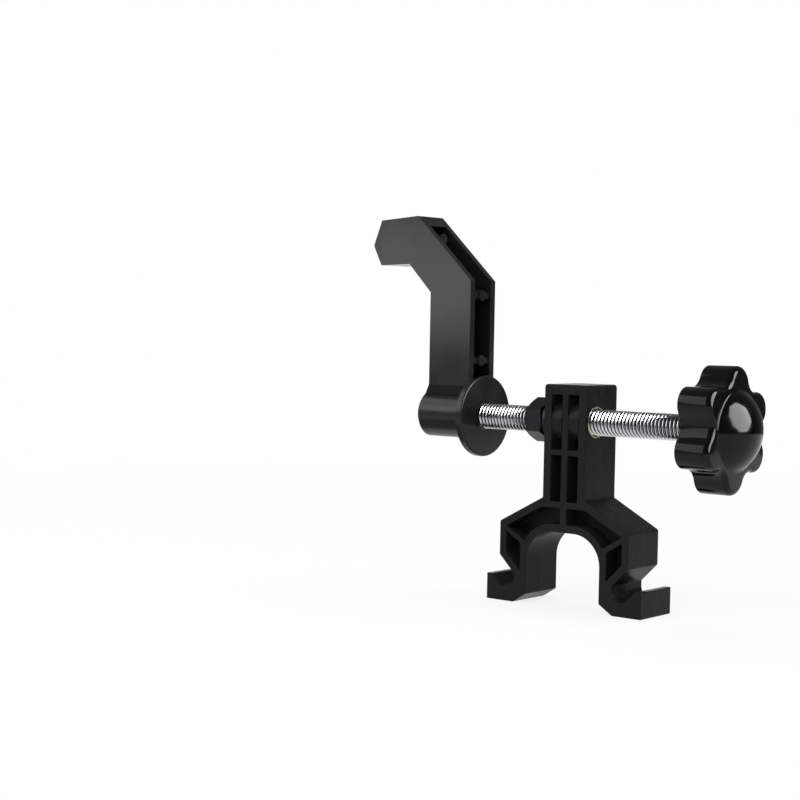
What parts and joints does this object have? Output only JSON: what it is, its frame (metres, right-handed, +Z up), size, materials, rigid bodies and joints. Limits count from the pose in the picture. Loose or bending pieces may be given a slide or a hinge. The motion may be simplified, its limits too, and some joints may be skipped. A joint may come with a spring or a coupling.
{
  "type": "bicycle wheel truing stand",
  "caption": "Clamp-on wheel truing gauge: saddle bracket with band hooks, a long screw with a lobed hand knob, and a cranked feeler arm that swings on the screw.",
  "frame": {"origin": "centre of the flat crown of the saddle notch, midway between the bracket's front and rear faces", "axes": "+X along the screw towards the knob, +Y to the rear, +Z up the bracket's column; the screw's axis is 2.3 mm in front of the middle plane and 34 mm above the crown"},
  "size_m": [0.1448, 0.0346, 0.1215],
  "materials": {
    "bracket_plastic": "fine-textured black moulded nylon",
    "arm_plastic": "satin black moulded nylon",
    "knob_plastic": "polished black phenolic",
    "zinc_steel": "bright zinc-plated rolled thread",
    "plain_steel": "ground steel",
    "spring_steel": "phosphated spring steel",
    "black_steel": "black zinc-plated steel",
    "insert_brass": "turned brass",
    "bush_bronze": "sintered bronze"
  },
  "bodies": {
    "bracket": {"bracket": "bracket_plastic", "threaded_insert": "insert_brass"},
    "thrust": {"thrust_washer": "plain_steel"},
    "screw": {"screw": "zinc_steel", "knob": "knob_plastic", "knob_insert": "insert_brass", "retaining_ring": "spring_steel"},
    "arm": {"arm": "arm_plastic", "hub_bush": "bush_bronze", "hub_cap": "arm_plastic"},
    "lock_washer": {"lock_washer": "black_steel"},
    "lock_nut": {"lock_nut": "black_steel"}
  },
  "joints": [
    {"name": "screw_travel", "type": "slide", "parent": "bracket", "child": "thrust", "axis": [1, 0, 0], "range_m": [-0.035, 0.01]},
    {"name": "knob_spin", "type": "hinge", "parent": "thrust", "child": "screw", "pos_m": [0, -0.0023, 0.034], "axis": [1, 0, 0], "range_deg": [-10081, 2881]},
    {"name": "arm_swing", "type": "hinge", "parent": "thrust", "child": "arm", "pos_m": [0, -0.0023, 0.034], "axis": [1, 0, 0], "continuous": true},
    {"name": "lock_nut_travel", "type": "slide", "parent": "bracket", "child": "lock_washer", "axis": [1, 0, 0], "range_m": [-0.005, 0]},
    {"name": "lock_nut_spin", "type": "hinge", "parent": "lock_washer", "child": "lock_nut", "pos_m": [0, -0.0023, 0.034], "axis": [1, 0, 0], "range_deg": [-1441, 1]}
  ],
  "couplings": [
    {"joint": "knob_spin", "follows": "screw_travel", "rad_per_m": 5026.5},
    {"joint": "lock_nut_spin", "follows": "lock_nut_travel", "rad_per_m": 5026.5}
  ]
}
